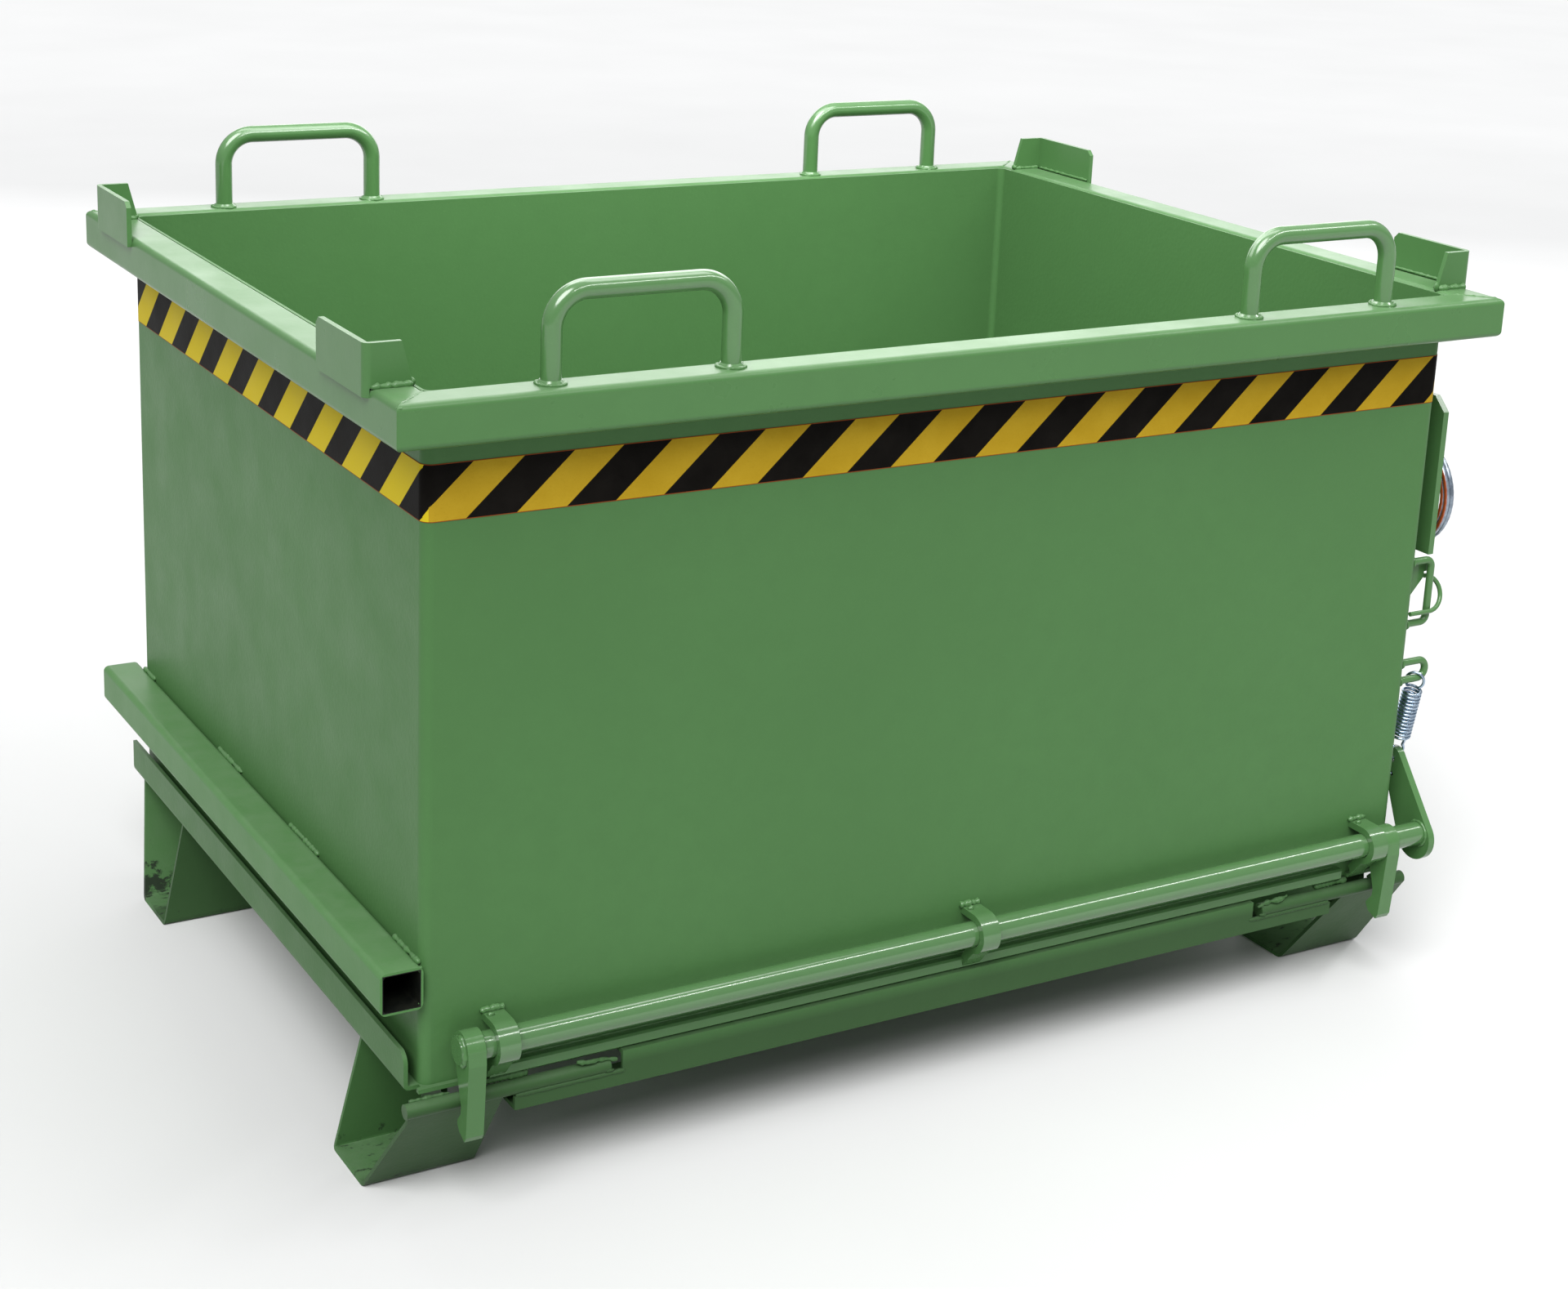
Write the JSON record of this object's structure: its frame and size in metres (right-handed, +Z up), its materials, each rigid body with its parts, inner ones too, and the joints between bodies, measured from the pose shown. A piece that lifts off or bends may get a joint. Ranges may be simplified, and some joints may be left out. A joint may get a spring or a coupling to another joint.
{
  "type": "hinged-floor bulk container",
  "caption": "Steel bulk container on feet, with a floor flap hinged at the back and released by hooks on a sprung latch shaft; lifting bows and stacking corners on its rim.",
  "frame": {"origin": "on the ground, under the middle of the box", "axes": "+Z up, +X to the container's right as seen from the latch side, +Y from the latch side to the hinge side"},
  "size_m": [1.221, 0.887, 0.842],
  "materials": {
    "wall_paint": "satin paint",
    "frame_paint": "satin paint",
    "fitting_paint": "glossy brushed-on paint over welds",
    "floor_paint": "satin paint, worn underneath",
    "warning_tape": "yellow and black slanted stripes",
    "zinc_steel": "bright zinc",
    "rope_sheath": "grey-blue translucent sheath over wire rope"
  },
  "bodies": {
    "container": {"wall_front": "wall_paint", "wall_back": "wall_paint", "wall_left": "wall_paint", "wall_right": "wall_paint", "rim_front": "frame_paint", "rim_back": "frame_paint", "rim_left": "frame_paint", "rim_right": "frame_paint", "bow_front_left": "frame_paint", "bow_front_right": "frame_paint", "bow_back_left": "frame_paint", "bow_back_right": "frame_paint", "stack_front_left": "frame_paint", "stack_front_right": "frame_paint", "stack_back_left": "frame_paint", "stack_back_right": "frame_paint", "warning_tape": "warning_tape", "side_tube_left": "frame_paint", "side_tube_right": "frame_paint", "front_ledge": "fitting_paint", "strap_left": "fitting_paint", "strap_middle": "fitting_paint", "strap_right": "fitting_paint", "rope_holder": "fitting_paint", "rope_bracket": "fitting_paint", "bracket_gusset": "fitting_paint", "rope_hoop": "fitting_paint", "rope_guide": "fitting_paint", "spring_eye": "fitting_paint", "return_spring": "zinc_steel", "hinge_ears_left": "fitting_paint", "hinge_ears_right": "fitting_paint", "hinge_pin_left": "zinc_steel", "hinge_pin_right": "zinc_steel", "rope_line": "rope_sheath", "rope_coil": "rope_sheath"},
    "floor_flap": {"floor_sheet": "floor_paint", "floor_lip_left": "floor_paint", "floor_lip_right": "floor_paint", "front_beam": "floor_paint", "back_beam": "floor_paint", "cross_member_left": "floor_paint", "cross_member_right": "floor_paint", "latch_bar_left": "floor_paint", "latch_bar_right": "floor_paint", "foot_front_left": "floor_paint", "foot_front_right": "floor_paint", "foot_back_left": "floor_paint", "foot_back_right": "floor_paint", "foot_rib_left": "floor_paint", "foot_rib_right": "floor_paint", "floor_knuckle_left": "floor_paint", "floor_knuckle_right": "floor_paint"},
    "latch": {"latch_shaft": "fitting_paint", "hook_left": "fitting_paint", "hook_right": "fitting_paint", "latch_lever": "fitting_paint", "rope_ferrule": "zinc_steel"}
  },
  "joints": [
    {"name": "floor_hinge", "type": "hinge", "parent": "container", "child": "floor_flap", "pos_m": [0, 0.425, 0.125], "axis": [1, 0, 0], "range_deg": [0, 70]},
    {"name": "latch_turn", "type": "hinge", "parent": "container", "child": "latch", "pos_m": [0, -0.422, 0.165], "axis": [-1, 0, 0], "range_deg": [-7, 30], "stiffness_Nm_per_rad": 6, "deforming": ["return_spring", "rope_line"]}
  ]
}
